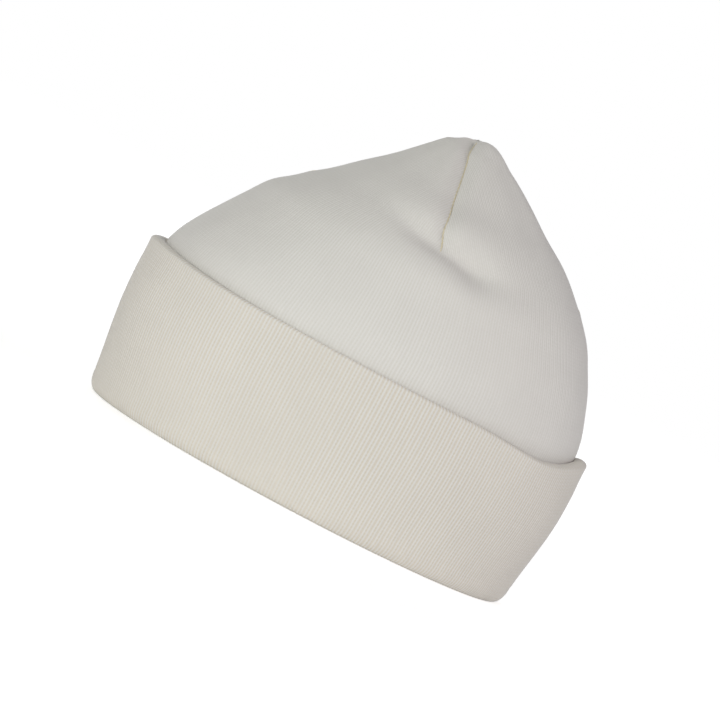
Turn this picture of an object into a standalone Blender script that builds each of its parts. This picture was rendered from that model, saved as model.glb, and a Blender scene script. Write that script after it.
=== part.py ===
"""Cuffed rib-knit beanie, standing on its folded rim with nothing inside.

Metres, +Z up. The origin is the middle of the rim on the surface below it.
X is the long way of the head and Y is across it. The camera of the
reference view looks along +Y, so the front of this model is its -Y side.

The crown is one hollow knitted wall, closed at the top by four sewn darts
that meet at the peak. At the rim the same fabric folds outwards and turns
up again as the cuff, a piece with a J section whose short inner leg meets
the lower end of the crown. Inside, each dart leaves a sewn ridge.
"""

import math
from collections import namedtuple

import bmesh
import bpy
from mathutils import Vector

# Overall sizes

HAT_HEIGHT = 0.1725
SHOULDER_HEIGHT = 0.072
CROWN_HALF_LENGTH = 0.0985
CROWN_HALF_WIDTH = 0.0845
RIM_HALF_LENGTH = 0.094
RIM_HALF_WIDTH = 0.0775
WALL = 0.003
JOINT_GAP = 0.0003

# The cuff: its height at the front, its stand-off from the crown, its padded
# ends, which reach their full thickness at a share of the cuff's height, and
# its rolled edge

CUFF_HEIGHT = 0.0678
CUFF_GAP_AT_RIM = 0.0030
CUFF_GAP_AT_EDGE = 0.0005
CUFF_WALL_AT_ENDS = 0.0063
CUFF_END_FULL_AT = 0.67
CUFF_BELLY = 0.0008
EDGE_ROLL = 0.0024

# How the cuff's edge rises to the left end and to the right end, each with
# a power that gathers the rise there, and dips before the right end. The
# left rise leans: it is greater on the front than on the back.

EDGE_RISE_LEFT = 0.0036
EDGE_POWER_LEFT = 4
EDGE_LEAN = 0.35
EDGE_RISE_RIGHT = 0.0030
EDGE_POWER_RIGHT = 24
EDGE_DIP = 0.0026
EDGE_DIP_TURN = math.radians(34)
EDGE_DIP_SPREAD = math.radians(16)

# The fold at the rim: the flat band that it rests on, the rounding outside
# it and the short leg that goes up to the crown

REST_BAND = 0.0030
FOLD_TOE = 0.0040
FOLD_RISE = 0.0080
INNER_LEG_HEIGHT = 0.009

# The darts: sewn length in height, groove, sideways sway and ridge inside

DART_RISE = 0.0473
DART_DEPTH = 0.0032
DART_ROLL = 0.0038
DART_FADE = 0.007
DART_SWAY = 0.0045
DART_SWAY_RISE = 0.009
DART_SWAY_HOLD = 0.022
RIDGE_WIDTH = 0.005
RIDGE_DEPTH = 0.0018
RIDGE_CREST_SHARE = 0.6
RIDGE_PEAK_CLEARANCE = 0.0075

# The peak: its section tilts up towards +X over the last of the rise

PEAK_TILT = 0.25
PEAK_TILT_RISE = 0.008

# The puckers under the ends of the darts

PUCKER_DEPTH = 0.0042
PUCKER_HALF_HEIGHT = 0.0052
PUCKER_HALF_SPAN = 0.027

# How finely the meshes are cut

COLUMNS_PER_QUARTER = 16
COLUMN_CROWDING = 0.075
FOLD_STEPS = 4

DART_TURNS = {
    "front": -math.pi / 2,
    "right": 0.0,
    "back": math.pi / 2,
    "left": math.pi,
}

# Sections of the crown above the shoulder. height is a share of the rise
# from the shoulder to the peak, length and lean are shares of the crown's
# half length, width is a share of its half width. lean moves the section
# towards +X.

Level = namedtuple("Level", "height length width lean")

CROWN_LEVELS = [
    Level(0.00, 1.000, 1.000, 0.000),
    Level(0.07, 0.979, 0.990, 0.008),
    Level(0.16, 0.937, 0.966, 0.020),
    Level(0.25, 0.887, 0.930, 0.033),
    Level(0.33, 0.836, 0.888, 0.040),
    Level(0.42, 0.776, 0.830, 0.047),
    Level(0.50, 0.702, 0.760, 0.060),
    Level(0.58, 0.607, 0.678, 0.075),
    Level(0.67, 0.502, 0.570, 0.072),
    Level(0.75, 0.392, 0.450, 0.056),
    Level(0.84, 0.281, 0.323, 0.040),
    Level(0.92, 0.176, 0.204, 0.019),
    Level(0.965, 0.108, 0.127, -0.004),
    Level(0.99, 0.061, 0.073, -0.017),
    Level(1.00, 0.000, 0.000, -0.020),
]

# Rings of the mesh, as shares of the height inside the cuff and above it

HIDDEN_RINGS = [0.0, 0.25, 0.5, 0.75, 0.92]
SHOWN_RINGS = [
    0.00, 0.06, 0.13, 0.20, 0.27, 0.33, 0.385, 0.425, 0.46, 0.49, 0.515, 0.545,
    0.58, 0.62, 0.67, 0.72, 0.77, 0.82, 0.87, 0.915, 0.95, 0.975, 0.991,
]

# One row for each pucker: the dart it lies under, its shift along the
# crown as a share of PUCKER_HALF_SPAN, its drop below the dart's end as a
# share of PUCKER_HALF_HEIGHT, and its span, height and depth as shares of
# the named sizes. A negative depth stands out, above or below the valley,
# and slope is how much it rises for each metre along the crown.

Pucker = namedtuple("Pucker", "dart shift drop span height depth slope")

PUCKERS = [
    Pucker("front", 0.12, 0.10, 0.90, 1.10, 0.75, -0.08),
    Pucker("front", 0.68, -0.10, 0.50, 1.35, 0.45, -0.20),
    Pucker("front", 0.20, -1.90, 1.00, 1.20, -0.28, 0.00),
    Pucker("front", 0.40, 2.30, 1.20, 1.40, -0.28, 0.00),
    Pucker("right", 0.00, 0.30, 0.80, 1.30, 0.15, 0.00),
    Pucker("back", -0.20, 0.30, 0.90, 1.10, 0.80, 0.00),
    Pucker("back", -0.20, 2.50, 1.10, 1.35, -0.25, 0.00),
    Pucker("left", 0.10, 0.10, 0.80, 1.30, 0.20, 0.00),
]

# Sections of the cuff's outer leg: height as a share of the cuff's height,
# and belly, the share of CUFF_BELLY by which its outside swells there.

CuffLevel = namedtuple("CuffLevel", "height belly")

CUFF_LEVELS = [
    CuffLevel(0.20, 0.2),
    CuffLevel(0.40, 0.7),
    CuffLevel(0.60, 1.0),
    CuffLevel(0.78, 0.9),
    CuffLevel(0.90, 0.2),
]


def smooth_step(share):
    """Ease from 0 to 1 as the share goes from 0 to 1."""
    share = min(max(share, 0.0), 1.0)
    return share * share * (3.0 - 2.0 * share)


def read_levels(height, column):
    """Read one column of the crown's levels, eased between its rows."""
    rows = CROWN_LEVELS
    height = min(max(height, 0.0), 1.0)
    lower = max(i for i, row in enumerate(rows) if row.height <= height)
    if lower == len(rows) - 1:
        return getattr(rows[lower], column)
    before = rows[max(lower - 1, 0)]
    start = rows[lower]
    end = rows[lower + 1]
    after = rows[min(lower + 2, len(rows) - 1)]
    span = end.height - start.height
    share = (height - start.height) / span
    value_0 = getattr(start, column)
    value_1 = getattr(end, column)
    slope_0 = (value_1 - getattr(before, column)) / (end.height - before.height) * span
    slope_1 = (getattr(after, column) - value_0) / (after.height - start.height) * span
    return (
        value_0 * (1 + 2 * share) * (1 - share) ** 2
        + slope_0 * share * (1 - share) ** 2
        + value_1 * share * share * (3 - 2 * share)
        + slope_1 * share * share * (share - 1)
    )


def crown_half_sizes(z):
    """Half length, half width and lean of the crown's outside at z."""
    rise = (z - SHOULDER_HEIGHT) / (HAT_HEIGHT - SHOULDER_HEIGHT)
    if rise >= 0.0:
        return (
            CROWN_HALF_LENGTH * read_levels(rise, "length"),
            CROWN_HALF_WIDTH * read_levels(rise, "width"),
            CROWN_HALF_LENGTH * read_levels(rise, "lean"),
        )
    swell = smooth_step(z / SHOULDER_HEIGHT)
    return (
        RIM_HALF_LENGTH + (CROWN_HALF_LENGTH - RIM_HALF_LENGTH) * swell,
        RIM_HALF_WIDTH + (CROWN_HALF_WIDTH - RIM_HALF_WIDTH) * swell,
        0.0,
    )


def angle_between(turn, other):
    """The smallest signed angle from other to turn."""
    return (turn - other + math.pi) % (2 * math.pi) - math.pi


def dart_end_height():
    """Height of the lower ends of the darts."""
    return HAT_HEIGHT - DART_RISE


def sunk_depth(turn, z, half_length, half_width):
    """How far the darts and puckers pull the crown in at a point."""
    radius = math.hypot(half_length * math.cos(turn), half_width * math.sin(turn))
    dart_strength = smooth_step((z - dart_end_height()) / DART_FADE)
    nearest = min(abs(angle_between(turn, dart)) for dart in DART_TURNS.values())
    depth = DART_DEPTH * dart_strength * math.exp(-((nearest * radius / DART_ROLL) ** 2))
    for pucker in PUCKERS:
        along = angle_between(turn, DART_TURNS[pucker.dart]) * radius
        across = z - dart_end_height() + pucker.drop * PUCKER_HALF_HEIGHT - pucker.slope * along
        along = (along - pucker.shift * PUCKER_HALF_SPAN) / (pucker.span * PUCKER_HALF_SPAN)
        across = across / (pucker.height * PUCKER_HALF_HEIGHT)
        depth += PUCKER_DEPTH * pucker.depth * math.exp(-along * along - across * across)
    return depth


def bare_point(turn, z):
    """A point of the crown's outside before the darts pull it in."""
    half_length, half_width, lean = crown_half_sizes(z)
    sway = DART_SWAY * smooth_step((z - dart_end_height()) / DART_SWAY_RISE)
    turn += sway / max(half_length, DART_SWAY_HOLD) * math.sin(turn)
    x = half_length * math.cos(turn)
    tilt = PEAK_TILT * smooth_step(1.0 - (HAT_HEIGHT - z) / PEAK_TILT_RISE)
    return Vector((lean + x, half_width * math.sin(turn), z + tilt * x))


def bare_normal(turn, z):
    """The outward direction of the crown there."""
    step = 0.0005
    below = bare_point(turn, z - step)
    above = bare_point(turn, min(z + step, HAT_HEIGHT - 0.1 * step))
    along = bare_point(turn + step, z) - bare_point(turn - step, z)
    return along.cross(above - below).normalized()


def crown_point(turn, z, inset=0.0):
    """A point of the crown, inset metres inside its outer face."""
    half_length, half_width, _ = crown_half_sizes(z)
    depth = sunk_depth(turn, z, half_length, half_width)
    return bare_point(turn, z) - bare_normal(turn, z) * (depth + inset)


def column_turns():
    """Angles of the mesh columns, closer together beside the darts."""
    turns = []
    for quarter in range(4):
        for column in range(COLUMNS_PER_QUARTER):
            share = column / COLUMNS_PER_QUARTER
            share -= COLUMN_CROWDING * math.sin(2 * math.pi * share)
            turns.append((quarter + share) * math.pi / 2)
    return turns


def crown_ring_heights():
    """Heights of the crown's rings, from its lower end to the peak."""
    foot = INNER_LEG_HEIGHT + JOINT_GAP
    hidden = [foot + share * (SHOULDER_HEIGHT - foot) for share in HIDDEN_RINGS]
    rise = HAT_HEIGHT - SHOULDER_HEIGHT
    shown = [SHOULDER_HEIGHT + share * rise for share in SHOWN_RINGS]
    return hidden + shown


def make_material(name, colour, roughness):
    """A plain knit-yarn finish."""
    material = bpy.data.materials.new(name)
    material.use_nodes = True
    shader = material.node_tree.nodes["Principled BSDF"]
    shader.inputs["Base Color"].default_value = (*colour, 1.0)
    shader.inputs["Roughness"].default_value = roughness
    shader.inputs["Metallic"].default_value = 0.0
    material.diffuse_color = (*colour, 1.0)
    return material


def add_ring(mesh, points):
    """A closed ring of vertices."""
    return [mesh.verts.new(point) for point in points]


def skin_rings(mesh, rings, closed=False):
    """Skin neighbouring rings with quads, and the last to the first if closed."""
    pairs = list(zip(rings, rings[1:]))
    if closed:
        pairs.append((rings[-1], rings[0]))
    for first, second in pairs:
        for i in range(len(first)):
            mesh.faces.new((first[i - 1], first[i], second[i], second[i - 1]))


def cap_ring(mesh, ring, point):
    """Close a ring with a fan of faces around a point."""
    centre = mesh.verts.new(point)
    for i in range(len(ring)):
        mesh.faces.new((ring[i - 1], ring[i], centre))


def finish_object(mesh, name, material):
    """Turn the mesh into a named, smooth-shaded object facing out."""
    bmesh.ops.recalc_face_normals(mesh, faces=mesh.faces)
    bmesh.ops.triangulate(mesh, faces=mesh.faces)
    data = bpy.data.meshes.new(name)
    mesh.to_mesh(data)
    mesh.free()
    data.shade_smooth()
    data.set_sharp_from_angle(angle=math.radians(50))
    data.materials.append(material)
    piece = bpy.data.objects.new(name, data)
    bpy.context.scene.collection.objects.link(piece)
    return piece


def build_crown():
    """The hollow crown: an outer and an inner skin joined at the foot."""
    mesh = bmesh.new()
    turns = column_turns()
    heights = crown_ring_heights()
    outer = [add_ring(mesh, [crown_point(t, z) for t in turns]) for z in heights]
    inner = [add_ring(mesh, [crown_point(t, z, WALL) for t in turns]) for z in heights]
    level_ring(inner[0], heights[0])
    level_ring(outer[0], heights[0])
    skin_rings(mesh, list(reversed(outer)) + inner)
    cap_ring(mesh, outer[-1], peak_point(0.0))
    cap_ring(mesh, inner[-1], peak_point(WALL))
    material = make_material("cream_rib_knit_crown", (0.62, 0.60, 0.54), 0.95)
    return finish_object(mesh, "crown", material)


def level_ring(ring, height):
    """Bring a ring to one height, so that the foot is level."""
    for vert in ring:
        vert.co.z = height


def peak_point(inset):
    """The middle of the peak, where the four darts meet."""
    _, _, lean = crown_half_sizes(HAT_HEIGHT)
    return Vector((lean, 0.0, HAT_HEIGHT - DART_DEPTH - inset))


def edge_lift(turn):
    """How far the cuff's free edge stands above its height at the front."""
    left = max(-math.cos(turn), 0.0) ** EDGE_POWER_LEFT * (1.0 - EDGE_LEAN * math.sin(turn))
    right = max(math.cos(turn), 0.0) ** EDGE_POWER_RIGHT
    from_right_end = abs(angle_between(turn, 0.0))
    dip = math.exp(-(((from_right_end - EDGE_DIP_TURN) / EDGE_DIP_SPREAD) ** 2))
    return EDGE_RISE_LEFT * left + EDGE_RISE_RIGHT * right - EDGE_DIP * dip


def cuff_point(turn, z, walls, belly=0.0):
    """A point of the cuff's outer leg, walls thicknesses from its inner face."""
    share = z / CUFF_HEIGHT
    up = smooth_step(share)
    height = z + edge_lift(turn) * share * share
    half_length, half_width, _ = crown_half_sizes(min(height, SHOULDER_HEIGHT))
    out = CUFF_GAP_AT_RIM + (CUFF_GAP_AT_EDGE - CUFF_GAP_AT_RIM) * up + belly * walls
    padding = smooth_step(share / CUFF_END_FULL_AT)
    wall_at_end = WALL + (CUFF_WALL_AT_ENDS - WALL) * padding
    x = (half_length + out + walls * wall_at_end) * math.cos(turn)
    y = (half_width + out + walls * WALL) * math.sin(turn)
    return Vector((x, y, height))


def cuff_ring(z, walls, belly=0.0):
    """Points round the cuff's outer leg, one for each mesh column."""
    return [cuff_point(turn, z, walls, belly) for turn in column_turns()]


def arc_points(start, end):
    """Points of a unit arc between two angles, outwards and upwards."""
    turns = [start + (end - start) * step / FOLD_STEPS for step in range(FOLD_STEPS + 1)]
    return [(math.cos(turn), math.sin(turn)) for turn in turns]


def build_cuff():
    """The turned-up cuff: a J section carried round the rim."""
    mesh = bmesh.new()
    rings = []
    for level in CUFF_LEVELS:
        rings.append(cuff_ring(level.height * CUFF_HEIGHT, 1.0, CUFF_BELLY * level.belly))
    for across, up in arc_points(0.0, math.pi):
        rings.append(cuff_ring(CUFF_HEIGHT + EDGE_ROLL * (up - 1), (1 + across) / 2))
    for level in reversed(CUFF_LEVELS):
        rings.append(cuff_ring(level.height * CUFF_HEIGHT, 0.0))
    rings.extend(fold_rings())
    skin_rings(mesh, [add_ring(mesh, points) for points in rings], closed=True)
    material = make_material("cream_rib_knit_cuff", (0.62, 0.60, 0.54), 0.95)
    return finish_object(mesh, "cuff", material)


def fold_rings():
    """Rings of the fold at the rim, from its inner hollow to its outside."""
    hollow = CUFF_GAP_AT_RIM / 2
    floor = hollow + WALL
    heel = CUFF_GAP_AT_RIM + 2 * WALL - FOLD_TOE - REST_BAND
    rings = []
    for across, up in arc_points(0.0, -math.pi):
        rings.append(rim_ring(hollow * (1 + across), floor + hollow * up))
    rings.append(rim_ring(0.0, INNER_LEG_HEIGHT))
    rings.append(rim_ring(-WALL, INNER_LEG_HEIGHT))
    for across, up in arc_points(-math.pi, -math.pi / 2):
        rings.append(rim_ring(heel * (1 + across) - WALL, floor * (1 + up)))
    for across, up in arc_points(-math.pi / 2, 0.0):
        rings.append(rim_ring(heel + REST_BAND + FOLD_TOE * across - WALL, FOLD_RISE * (1 + up)))
    return rings


def rim_ring(outset, z):
    """Points round the rim, outset metres outside the crown's foot."""
    half_length, half_width, _ = crown_half_sizes(INNER_LEG_HEIGHT)
    x = half_length + outset
    y = half_width + outset
    return [Vector((x * math.cos(t), y * math.sin(t), z)) for t in column_turns()]


def ridge_heights():
    """Heights of a ridge's sections: the crown's rings beside the dart."""
    low = dart_end_height()
    high = HAT_HEIGHT - RIDGE_PEAK_CLEARANCE
    return [z for z in crown_ring_heights() if low < z < high]


def ridge_section(turn, z):
    """Points round a ridge on the crown's inner face at z."""
    half_length, half_width, _ = crown_half_sizes(z)
    radius = math.hypot(half_length * math.cos(turn), half_width * math.sin(turn))
    half_turn = RIDGE_WIDTH / 2 / max(radius - WALL, RIDGE_WIDTH)
    seat = WALL + JOINT_GAP
    crest = seat + RIDGE_DEPTH
    foot = [(side, seat) for side in (-1.0, 0.0, 1.0)]
    top = [(side * RIDGE_CREST_SHARE, crest) for side in (1.0, 0.0, -1.0)]
    return [crown_point(turn + side * half_turn, z, inset) for side, inset in foot + top]


def build_ridge(dart):
    """The sewn ridge that a dart leaves inside the crown."""
    mesh = bmesh.new()
    turn = DART_TURNS[dart]
    rings = [add_ring(mesh, ridge_section(turn, z)) for z in ridge_heights()]
    skin_rings(mesh, rings)
    mesh.faces.new(rings[0])
    mesh.faces.new(rings[-1])
    material = make_material(f"cream_overlock_seam_{dart}", (0.60, 0.57, 0.50), 0.95)
    return finish_object(mesh, f"dart_seam_{dart}", material)


def main():
    """Clear the scene and build every piece of the hat."""
    for old in list(bpy.data.objects):
        bpy.data.objects.remove(old, do_unlink=True)
    build_crown()
    build_cuff()
    for dart in DART_TURNS:
        build_ridge(dart)


main()
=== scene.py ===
"""Looks of a cream cuffed beanie in rib knit, laid out as a Blender add-on.

The crown and the cuff are knitted blanks: flat grids whose columns follow
the wales and whose rows follow the courses. Each blank is wrapped into the
form of its solid, and the crown's blank is gathered on to the lines of its
four darts and sewn there, so that the ribs run into each seam aslant.
"""

import math

import bpy
import numpy as np
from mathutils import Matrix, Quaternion, Vector


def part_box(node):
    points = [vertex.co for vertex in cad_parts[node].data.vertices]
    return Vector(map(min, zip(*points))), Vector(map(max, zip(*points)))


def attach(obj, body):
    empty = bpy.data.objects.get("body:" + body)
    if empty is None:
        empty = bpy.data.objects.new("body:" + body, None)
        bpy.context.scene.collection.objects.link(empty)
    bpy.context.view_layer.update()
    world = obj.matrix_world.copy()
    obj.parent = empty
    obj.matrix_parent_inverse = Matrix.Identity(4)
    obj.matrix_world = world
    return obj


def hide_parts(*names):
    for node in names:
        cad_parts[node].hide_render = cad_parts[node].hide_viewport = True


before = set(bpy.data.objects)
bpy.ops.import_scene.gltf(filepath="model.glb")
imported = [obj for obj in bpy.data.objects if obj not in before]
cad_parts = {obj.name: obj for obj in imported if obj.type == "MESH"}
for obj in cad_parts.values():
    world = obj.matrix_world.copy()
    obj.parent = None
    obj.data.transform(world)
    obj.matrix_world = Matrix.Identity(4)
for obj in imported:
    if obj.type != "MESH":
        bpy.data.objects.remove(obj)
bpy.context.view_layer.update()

bl_info = {
    "name": "Cuffed Beanie",
    "version": (1, 0, 0),
    "blender": (4, 5, 0),
    "location": "View3D > Sidebar > Beanie",
    "description": "Builds a rib-knit beanie with a turned-up cuff, and its studio",
    "category": "Add Mesh",
}

# Overall sizes in metres, as in the solids that the fabric covers. Only the
# cuff's edge, the darts, the tilt of the peak and some of the puckers are
# drawn a little finer here, within 2 mm of the solids.

HAT_HEIGHT = 0.1725
SHOULDER_HEIGHT = 0.072
CROWN_HALF_LENGTH = 0.0985
CROWN_HALF_WIDTH = 0.0845
RIM_HALF_LENGTH = 0.094
RIM_HALF_WIDTH = 0.0775
WALL = 0.003
FOOT_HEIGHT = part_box("crown")[0][2]

# The cuff, and how its free edge rises and dips on its way round

CUFF_HEIGHT = 0.0678
CUFF_WALL_AT_ENDS = 0.0063
CUFF_END_FULL_AT = 0.67
CUFF_GAP_AT_RIM = 0.0030
CUFF_GAP_AT_EDGE = 0.00005
CUFF_BELLY = 0.0008
EDGE_ROLL = 0.0018
EDGE_RISE_LEFT = 0.0030
EDGE_POWER_LEFT = 4
EDGE_LEAN = 0.35
EDGE_RISE_RIGHT = 0.0030
EDGE_POWER_RIGHT = 24
EDGE_DIP = 0.0026
EDGE_DIP_TURN = math.radians(34)
EDGE_DIP_SPREAD = math.radians(16)

# The fold at the rim

INNER_LEG_HEIGHT = 0.009
REST_BAND = 0.0030
FOLD_TOE = 0.0040
FOLD_RISE = 0.0080

# Steps of the mesh round the edge, the hollow, the heel and the toe of the J

EDGE_STEPS = 12
HOLLOW_STEPS = 6
HEEL_STEPS = 6
TOE_STEPS = 10

# The darts and the peak

DART_RISE = 0.0473
DART_END = HAT_HEIGHT - DART_RISE
DART_DEPTH = 0.0020
DART_ROLL = 0.0046
DART_CLEFT_DEPTH = 0.0013
DART_CLEFT_ROLL = 0.0012
DART_NOTCH_DEPTH = 0.0009
DART_NOTCH_RISE = 0.006
DART_CLEFT_CLEARANCE = 0.0009
DART_FADE = 0.007
DART_SWAY = 0.0043
DART_SWAY_FROM = DART_END - 0.002
DART_SWAY_RISE = 0.011
DART_SWAY_HOLD = 0.016
PEAK_TILT = 0.30
PEAK_TILT_RISE = 0.008
PEAK_OUTLINE_CLEARANCE = 0.00001

# The thread that closes each dart: it zigzags from stitch to stitch, wanders
# slowly, swells at each stitch and rises out of the fabric at its lower end.
# Its twist and the overlock's are the heights of one turn.

THREAD_STEP = 0.0006
THREAD_ZIGZAG = 0.00015
THREAD_WANDER = 0.00030
THREAD_SWELL = 0.25
THREAD_RISE = 0.0015
THREAD_PEAK_CLEARANCE = 0.0004
THREAD_TURN_HOLD = 0.004
THREAD_TWIST = 0.0008976
THREAD_SHADE = 0.86
THREAD_RELIEF = 0.0001

# The overlocked ridges that the darts leave inside, with loops over them

RIDGE_WIDTH = 0.005
RIDGE_DEPTH = 0.0018
RIDGE_GAP = 0.0003
RIDGE_START = 0.001
RIDGE_PEAK_CLEARANCE = 0.0075
RIDGE_SIDES = 16
OVERLOCK_PITCH = 0.0024
OVERLOCK_ROWS = 6
OVERLOCK_SWELL = 0.14
OVERLOCK_SLANT = 1.6
OVERLOCK_TWIST = 0.001496

# The puckers under the ends of the darts

PUCKER_DEPTH = 0.0042
PUCKER_HALF_HEIGHT = 0.0052
PUCKER_HALF_SPAN = 0.027

# The knit: mesh columns of each wale as shares of its width, from a valley
# over the left leg, the groove and the right leg, and how deep each lies

RIB_PLACES = np.array([0.0, 0.28, 0.5, 0.72])
RIB_DEPTHS = np.array([1.0, 0.0, 0.55, 0.0])
INSIDE_RELIEF = 0.5

# The blank's four quarters, how much closer its ribs run at the peak, its
# twist below the darts, and how far under the cuff its fine rows reach

QUARTERS = 4
PITCH_LOSS_AT_PEAK = 0.30
SHOULDER_TWIST = math.radians(4.0)
COVERED_MARGIN = 0.012

# Beside a seam the ribs are pulled flat: over how many wales, and how much

SEAM_CALM = 2.0
SEAM_FLATTENING = 0.7
SEW_REACH = 0.00002

# Slow waves of the fabric: how many round the hat, radians for each metre
# up it, what they take of the piece's own phase, and their strength

WAVES = [(3, 31, 1.0, 1.0), (5, -47, 2.1, 0.8), (8, 83, 0.7, 0.6), (13, -61, 1.3, 0.4)]
WAVE_PEAK = 2.2
CROWN_WAVE = 0.00045
CROWN_WAVE_FADE = 0.02
CUFF_WAVE = 0.0007

# The yarn's patterns, as widths in metres: tufts of fuzz, the mottling of the
# spinning, and the patches in which the fabric is stretched

FUZZ_WIDTH = 0.0003846
MOTTLE_WIDTH = 0.02222
STRETCH_WIDTH = 0.0625

# The parts of a rib across it, from 0 on the groove in its middle to 1 in the
# valley beside it: the leg's middle, and the places where the leg, the valley
# and the groove have ended and where they are full

LEG_MIDDLE = 0.53
LEG_EDGE, LEG_FULL = 0.36, 0.08
VALLEY_EDGE, VALLEY_FULL = 0.62, 0.98
GROOVE_EDGE, GROOVE_FULL = 0.34, 0.04
LEG_FRAY = 0.16

# The stitches along a rib: the slant of each, how far the mottling shifts
# them, and how much a leg thins between two of them

STITCH_SLANT = -0.6
STITCH_SHIFT = 0.5
STITCH_THINNING = 0.25

# Relief of the stitches, as depths for the bump and its strength on the
# single and on the doubled fabric

STITCH_RELIEF = 0.0004
FUZZ_RELIEF = 0.30
GROOVE_RELIEF = -0.40
SINGLE_STRENGTH = 0.22
DOUBLE_STRENGTH = 0.30

# Paleness of the stitches, which painted shade lowers: what the painted shade
# of the groove's and the valley's dots takes from it, its mean, the range from
# the valley's painted shade colour to the yarn's, how far it is spread where
# the fabric is stretched, and the mottling's share

GROOVE_SHADE = -0.55
VALLEY_SHADE = -0.30
PALE_MEAN = 0.25
PALE_LOW, PALE_HIGH = -0.45, 0.95
STRETCH_LOW, STRETCH_HIGH = 0.65, 1.35
MOTTLE_SHADE = 0.03

# Sections of the crown above the shoulder, as shares: height of the rise to
# the peak, length and lean of the half length, width of the half width

CROWN_LEVELS = {
    "height": [0, .07, .16, .25, .33, .42, .50, .58, .67, .75, .84, .92, .965, .99, 1],
    "length": [1, .979, .937, .887, .836, .776, .702, .607, .502, .392, .281, .176, .108, .055, 0],
    "width": [1, .990, .966, .930, .888, .830, .760, .678, .570, .450, .323, .204, .127, .065, 0],
    "lean": [0, .008, .02, .033, .04, .047, .06, .075, .072, .056, .04, .019, -.004, -.017, -.02],
}

# How the cuff's outside swells: height as a share of the cuff's height, and
# the share of CUFF_BELLY there

BELLY_LEVELS = {
    "height": [0, .12, .20, .40, .60, .78, .90, 1],
    "belly": [0, 0, .2, .7, 1, .9, .2, 0],
}

# Puckers round the darts' ends. at is the dart's turn in quarters from the
# right end; shift, drop, span, height and depth are shares of the sizes
# above, slope is the rise along the crown, and a negative depth stands out.

PUCKERS = [
    {"at": 3, "shift": 0, "drop": -.10, "span": .74, "height": .80, "depth": .78, "slope": -.08},
    {"at": 3, "shift": .62, "drop": -.25, "span": .38, "height": 1.45, "depth": .60, "slope": -.20},
    {"at": 3, "shift": .20, "drop": -1.90, "span": 1.0, "height": 1.20, "depth": -.28, "slope": 0},
    {"at": 3, "shift": .40, "drop": 2.30, "span": 1.20, "height": 1.40, "depth": -.28, "slope": 0},
    {"at": 0, "shift": 0, "drop": .30, "span": .80, "height": 1.30, "depth": .15, "slope": 0},
    {"at": 1, "shift": -.20, "drop": .30, "span": .90, "height": 1.10, "depth": .80, "slope": 0},
    {"at": 1, "shift": -.20, "drop": 2.50, "span": 1.10, "height": 1.35, "depth": -.25, "slope": 0},
    {"at": 2, "shift": .10, "drop": .70, "span": .80, "height": .90, "depth": .22, "slope": 0},
]

DART_NAMES = ("right", "back", "left", "front")

# The studio: light from the surroundings and the floor on to the hat, and
# how far the floor glows by itself in the picture. Both look whiter than the
# light they give, as a sweep does that is lit apart from the subject.

SURROUND_LIGHT = 0.26
FLOOR_LIGHT = 0.13
FLOOR_GLOW = 0.50
FLOOR_RADIUS = 2.4
FLOOR_SIDES = 96
FLOOR_FADE_FROM = 0.25
FLOOR_FADE_TO = 2.2

# The soft boxes: where each hangs, its side in metres, its power in watts and
# its tint. All of them point at the hat's middle.

SOFTBOXES = [
    {"name": "key", "at": (-0.67, -2.49, 0.44), "size": 0.8, "power": 34.5, "tint": "#FDFFFA"},
    {"name": "right", "at": (2.22, -0.39, 1.38), "size": 1.3, "power": 16.6, "tint": "#FFF3FA"},
    {"name": "side", "at": (2.23, 1.29, 0.64), "size": 1.1, "power": 8.4, "tint": "#EDFFF9"},
    {"name": "back", "at": (-0.60, 2.50, 0.90), "size": 1.6, "power": 32.0, "tint": "#FFFFFF"},
    {"name": "left", "at": (-2.22, -0.39, 1.38), "size": 1.3, "power": 5.2, "tint": "#FFFFFF"},
]
LIGHT_AIM = 0.08

# Points on the curves that are looked up, the shares of the height below the
# peak between which they lie closer, and a number that keeps a division from
# zero

CURVE_POINTS = 801
PROFILE_POINTS = 1500
PEAK_POINTS = 400
PEAK_SHARE, PEAK_TIP = 0.02, 1e-6
OUTLINE_POINTS = 721
SEAM_POINTS = 4000
TINY = 1e-9


def linear(hex_colour):
    """Turn an sRGB hex colour into linear red, green, blue and alpha."""
    parts = [int(hex_colour[i:i + 2], 16) / 255 for i in (1, 3, 5)]
    parts = [c / 12.92 if c <= 0.04045 else ((c + 0.055) / 1.055) ** 2.4 for c in parts]
    return (*parts, 1.0)


class BeanieKnit(bpy.types.PropertyGroup):
    """Sizes of the knit."""

    wales_per_quarter: bpy.props.IntProperty(
        name="Wales per quarter", description="Ribs between one dart and the next",
        default=46, min=20, max=60)
    rib_depth: bpy.props.FloatProperty(
        name="Rib depth", description="How deep the valleys between the ribs are",
        default=0.00018, min=0.0, max=0.0015, unit="LENGTH", precision=5)
    course: bpy.props.FloatProperty(
        name="Course", description="Height of one stitch",
        default=0.00157, min=0.0005, max=0.004, unit="LENGTH", precision=5)
    row: bpy.props.FloatProperty(
        name="Mesh row", description="Height of a row of the mesh where the knit shows",
        default=0.0016, min=0.0008, max=0.006, unit="LENGTH", precision=5)
    hidden_row: bpy.props.FloatProperty(
        name="Hidden mesh row", description="Height of a row inside the hat",
        default=0.0050, min=0.002, max=0.01, unit="LENGTH", precision=5)
    thread: bpy.props.FloatProperty(
        name="Seam thread", description="Thickness of the thread in the darts",
        default=0.0006, min=0.0002, max=0.002, unit="LENGTH", precision=5)


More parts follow.
